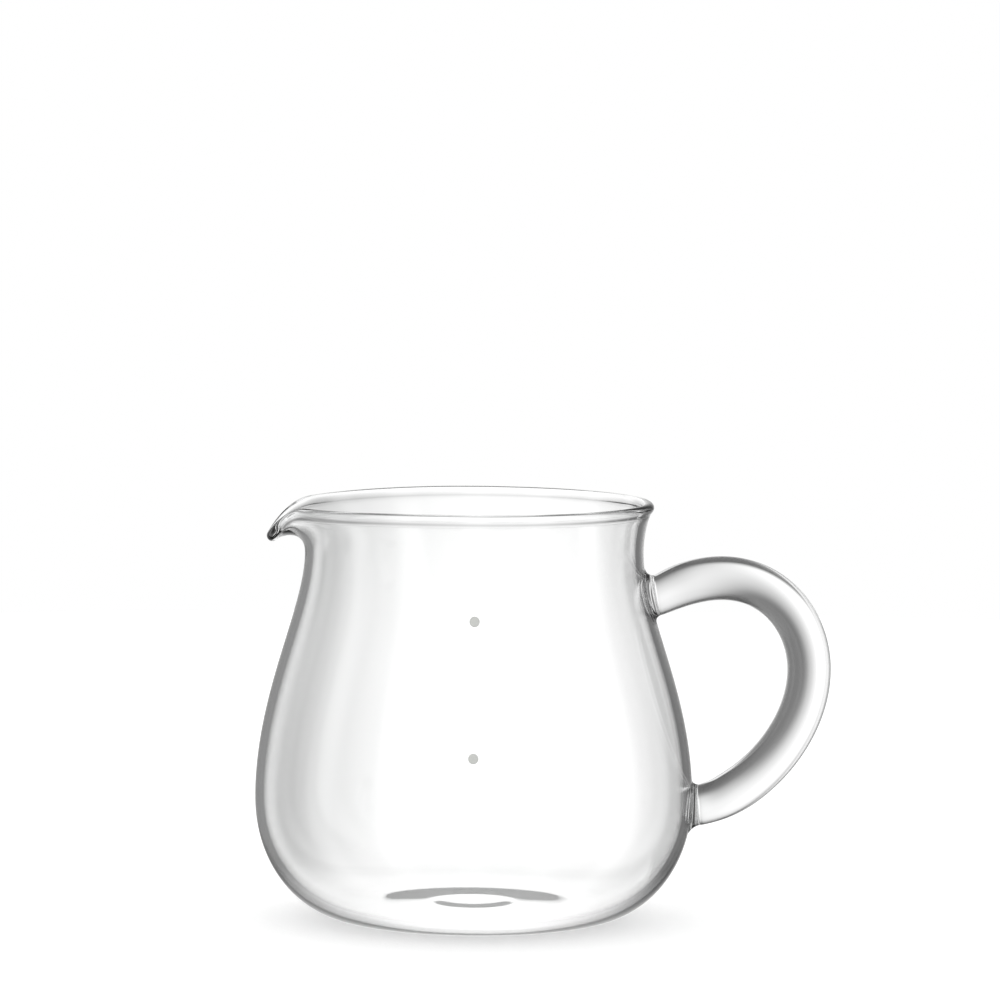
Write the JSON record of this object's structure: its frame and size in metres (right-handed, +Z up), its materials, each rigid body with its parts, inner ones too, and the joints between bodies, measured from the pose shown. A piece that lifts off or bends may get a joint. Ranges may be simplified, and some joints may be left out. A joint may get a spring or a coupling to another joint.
{
  "type": "glass coffee server",
  "caption": "Clear blown-glass server jug that catches brewed coffee: round belly, narrow neck, flared rim with a drooping spout, fused rod handle and printed fill dots.",
  "frame": {"origin": "bottom centre of the overall box, on the surface that the jug stands on; the jug's own axis is 13.7 mm along -X", "axes": "+X from the spout to the handle, +Y away from the side with the fill marks, +Z up along the jug's axis"},
  "size_m": [0.1154, 0.088, 0.0843],
  "materials": {
    "glass": "clear heat-resistant glass, fire-polished",
    "enamel": "light grey fired print"
  },
  "bodies": {
    "root": {"glass_body": "glass", "handle": "glass", "upper_handle_weld": "glass", "lower_handle_weld": "glass", "upper_fill_mark": "enamel", "lower_fill_mark": "enamel"}
  },
  "joints": []
}
